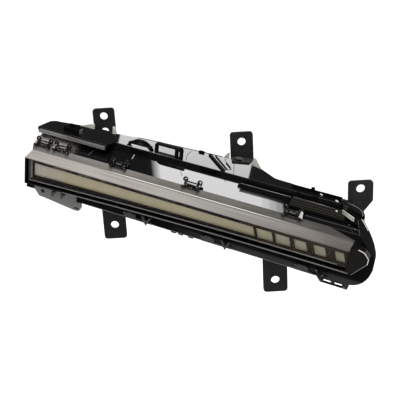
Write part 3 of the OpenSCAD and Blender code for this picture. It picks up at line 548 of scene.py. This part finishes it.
def make_lines():
    """Painted highlights: pale beads for the light edges and lines that the photograph shows on the lens's
    front, the lip, shelf and panel.
    """
    upper = [(x, FRONT - 0.1, upper_line(x)) for x in spread(LEFT + 5, 118, 24)]
    lower = [(x, FRONT - 0.1, lens_bottom(x) + 0.1) for x in spread(LEFT + 42, 128, 24)]
    lip = [(x, LIP, BODY_LOW + 0.1) for x in spread(-124, 103, 12)]
    shelf_front = on_shelf([(x, STEP_Y) for x in spread(SHOULDER_RIGHT + 3, -48, 6)])
    bar_edge = [(x, STEP_Y - 1.5, STEP_Z - 0.1) for x in spread(17, 63, 6)]
    rib_curve = [(78, -45.5), (104, -45.6), (113, -46.2), (120, -48.2), (124, -50.5)]
    rim = [(108 + 19 * math.cos(a), -50 + 19 * math.sin(a)) for a in (1.45, 1.2, 0.95, 0.7, 0.4, 0.1)]
    rim_side = [(114 + 31 * k / 30, -32.5 - (k - 5) ** 2 / 40, -k + 0.3) for k in (2, 5, 9, 13, 17)]
    for name, points, radius, slot in (
        ("lens_line_upper", upper, 0.4, "guard_grey"),
        ("lens_line_lower", lower, 0.45, "guard_grey"),
        ("lip_edge", lip, 0.4, "guard_grey"),
        ("shelf_rear_edge", on_shelf([(-100, -10), (-89, -8), (-50, -4.5), (-16, -2)]), 0.4, "guard_grey"),
        ("shelf_front_edge", shelf_front, 0.28, "trim_grey"),
        ("panel_bar_edge", bar_edge, 0.28, "trim_grey"),
        ("panel_bar_foot", on_panel([(21, -43.6), (40, -44), (60, -44.8)]), 0.3, "guard_grey"),
        ("rib_curve", on_panel(rib_curve), 0.4, "trim_grey"),
        ("rib_line", [(65, -35.2, STEP_Z), (80, -35.2, STEP_Z), (102, -36.6, STEP_Z)], 0.35, "trim_grey"),
        ("window_seam_left", on_panel([(-128.3, -51.3), (-125.7, -41.6)]), 0.25, "guard_grey"),
        ("window_seam_right", on_panel([(-87.3, -41.9), (-88.1, -36.2)]), 0.3, "gusset_pale"),
        ("rim_upper", on_shelf(rim), 0.4, "guard_grey"),
        ("rim_side", rim_side, 0.6, "gusset_pale"),
    ):
        bead(name, points, radius, slot)
    # Painted highlights on the slanted block at the right end
    for i, z in enumerate((-3.1, -4.4, -5.7)):
        bead("slant_line_%d" % (i + 1), [(108.6, -40.3, z), (121, -50, z)], 0.38, "gusset_pale")


def make_seams():
    """Thin black seams on the glossy surfaces."""
    for name, points, radius in (
        ("shelf_arc", on_shelf([(-38, -32.9), (-41.4, -24.7), (-44, -17.2), (-44.3, -9.1)]), 0.22),
        ("shelf_loop", on_shelf([(-0.8, -28), (0.9, -28.1), (2.2, -26.9), (2.3, -24.8), (0.2, -22.4)]), 0.35),
        ("shelf_loop_end", on_shelf([(-6.5, -15), (-12, -5.5)]), 0.3),
        ("shelf_seam", on_shelf([(-3.6, -4), (8.8, -34.6)]), 0.22),
        ("panel_arc", on_panel([(-39.2, -36.3), (-38.9, -40), (-37.3, -42.6), (-34.9, -44.9)]), 0.22),
        ("panel_seam", on_panel([(4, -36.4), (3.3, -39.1)]), 0.22),
    ):
        bead(name, points, radius, "clip_black")


def make_details():
    """Small latch pins at the right end, pale as painted glints; a pale plate on the fifth clip as a painted
    glint; a black plate behind the guard's slot as painted shade; the prow, with painted highlights along its
    rim.
    """
    # Pale pins whose colour stands for painted glints
    for i, line in enumerate((
        [(85.5, -28.6, 0.5), (87.5, -29.8, 0.5)],
        [(100, -33, 0.5), (102.4, -34.4, 0.5)],
        [(103, -38.6, -6), (104.4, -39.6, -6)],
    )):
        bead("latch_pin_%d" % (i + 1), line, 0.7, "gusset_pale")
    # Painted glint: a pale plate on the fifth clip
    glint_corners = [(77.2, -13.4), (80.6, -13.4), (80.6, -8), (78.8, -6.6)]
    plate("clip_leaf", [(x, -56.2, z) for x, z in glint_corners], (0, 0.5, 0), "gusset_pale")
    # Painted shade: a black plate behind the guard's slot
    shade_corners = [(-131.6, -62), (-125.4, -62), (-125.4, -59), (-131.6, -59)]
    plate("guard_slot_shade", [(x, -64, z) for x, z in shade_corners], (0, 0.4, 0), "seal_black")
    prow = [(138, -33.5), (141.4, -29.8), (141.8, -25.2), (137.6, -20.6), (132.5, -19.4), (126, -20.4)]
    plate("prow_cap", [(x, FRONT + 0.3, z) for x, z in prow], (0, 8, 0), "lens_smoke")
    # Painted highlights: pale beads along the prow's rim
    rim = [(x, FRONT + 0.1, z) for x, z in reversed(prow)]
    bead("prow_edge_upper", rim[1:5], 0.34, "gusset_pale")
    bead("prow_edge_lower", [rim[4], (130.5, FRONT, -42.4)], 0.32, "guard_grey")


def make_springs():
    """Sprung arms between the rungs and the ears of each upper clip."""
    lean = Matrix.Rotation(math.radians(-38), 3, "X")
    lines = [
        ("arm_left", 0.75, "clip_black", [(-6.9, -1.2, 7.4), (-4.8, -1.2, 3.8), (-3.6, -1.2, 0.9)]),
        ("arm_right", 0.7, "clip_black", [(6.6, -1.2, 6.2), (4.4, -1.2, 3.4), (3.2, -1.2, 0.9)]),
        ("curl", 0.45, "clip_black", [(8.6, -1, 8.6), (9.1, -1, 6.4), (8.6, -1, 3.8), (7.6, -1, 1.6)]),
        # The last line is a painted highlight along each rung
        ("rung_line", 0.3, "trim_grey", [(-3, -1.5, 4.4), (3.2, -1.5, 4.2)]),
    ]
    for i, x in enumerate(CLIP_X):
        seat = Vector((x, JOINT[0] - 1.5, JOINT[1] - 1.5))
        for part, radius, slot, line in lines:
            bead("clip_%s_%d" % (part, i + 1), [seat + lean @ Vector(p) for p in line], radius, slot)


make_lines()
make_seams()
make_details()
make_springs()


# Studio, in metres
def make_camera():
    """The photograph's view: 20 degrees from above, turned 3.3 degrees on its own axis."""
    data = bpy.data.cameras.new("camera")
    data.lens = 70
    data.sensor_width = 36
    camera = bpy.data.objects.new("camera", data)
    bpy.context.scene.collection.objects.link(camera)
    tilt = Matrix.Rotation(math.radians(90 - 20), 4, "X")
    place = tilt @ Matrix.Rotation(math.radians(-3.3), 4, "Z")
    place.translation = Vector((-0.0404, -0.6749, 0.1923))
    camera.matrix_world = place
    bpy.context.scene.camera = camera


def aim(made, place, facing):
    """Puts a light at a place, so that it shines against the direction facing."""
    made.location = place
    made.rotation_mode = "QUATERNION"
    made.rotation_quaternion = Vector(facing).to_track_quat("Z", "Y")


def area_light(name, place, width, height, radiance):
    """A soft box that leans towards the lamp, with its width along the scene's x."""
    data = bpy.data.lights.new(name, "AREA")
    data.shape = "RECTANGLE"
    data.size = width
    data.size_y = height
    data.energy = radiance * math.pi * width * height
    light = bpy.data.objects.new(name, data)
    bpy.context.scene.collection.objects.link(light)
    light.visible_camera = False
    aim(light, place, (0, *place[1:]))


def make_studio():
    """Two rows of lights that mirror in the glossy surfaces, two soft boxes, the sun and a dim world."""
    # Side by side in the sloping panel's mirror, weaker towards both ends
    row_y, row_z, row_height = 0.386, 1.21, 0.3
    area_light("strip_high", (-0.0785, row_y, row_z), 0.251, row_height, 13)
    for i in range(3):
        left = (-0.219 + 0.006 * i, row_y, row_z)
        right = (0.0555 + 0.017 * i, row_y, row_z)
        area_light("strip_left_%d" % i, left, 0.006, row_height, 3.2 + 3.2 * i)
        area_light("strip_right_%d" % i, right, 0.017, row_height, 11 - 2.4 * i)
    # In the shelf's mirror
    area_light("strip_low", (0.073, 1.165, 0.53), 0.346, 0.24, 3.4)
    area_light("softbox_front", (0, -1.226, 1.028), 1.4, 0.7, 2.0)
    area_light("softbox_left", (-0.609, -0.609, 1.103), 0.9, 0.7, 1.2)
    sun = bpy.data.lights.new("overhead", "SUN")
    sun.energy = 3.6
    sun.angle = math.radians(40)
    light = bpy.data.objects.new("overhead", sun)
    bpy.context.scene.collection.objects.link(light)
    from_above = (0, -0.174, 0.985)
    aim(light, from_above, from_above)
    world = bpy.data.worlds.new("studio")
    world.use_nodes = True
    world.node_tree.nodes["Background"].inputs["Color"].default_value = (0.05, 0.05, 0.05, 1)
    bpy.context.scene.world = world
    bpy.context.scene.view_settings.view_transform = "Standard"


def make_floor():
    """A wide white disc whose rim rises far away, so that no view shows an edge."""
    shape = bmesh.new()
    rings = []
    for radius, height in ((12, -0.4), (30, 4)):
        lift = Matrix.Translation((0, 0, height))
        ring = bmesh.ops.create_circle(shape, cap_ends=False, radius=radius, segments=48, matrix=lift)
        rings.append(ring["verts"])
    shape.faces.new(rings[0])
    bmesh.ops.bridge_loops(shape, edges=shape.edges[:])
    mesh = bpy.data.meshes.new("floor")
    shape.to_mesh(mesh)
    shape.free()
    floor = bpy.data.objects.new("floor", mesh)
    bpy.context.scene.collection.objects.link(floor)
    f = Finish("floor_paper")
    tone = f.mix(f.noise(60, 2) * 0.1, (0.94, 0.94, 0.94), (0.92, 0.92, 0.92))
    floor.data.materials.append(f.finish(colour=tone, rough=0.9, specular=0.1))


make_camera()
make_studio()
make_floor()
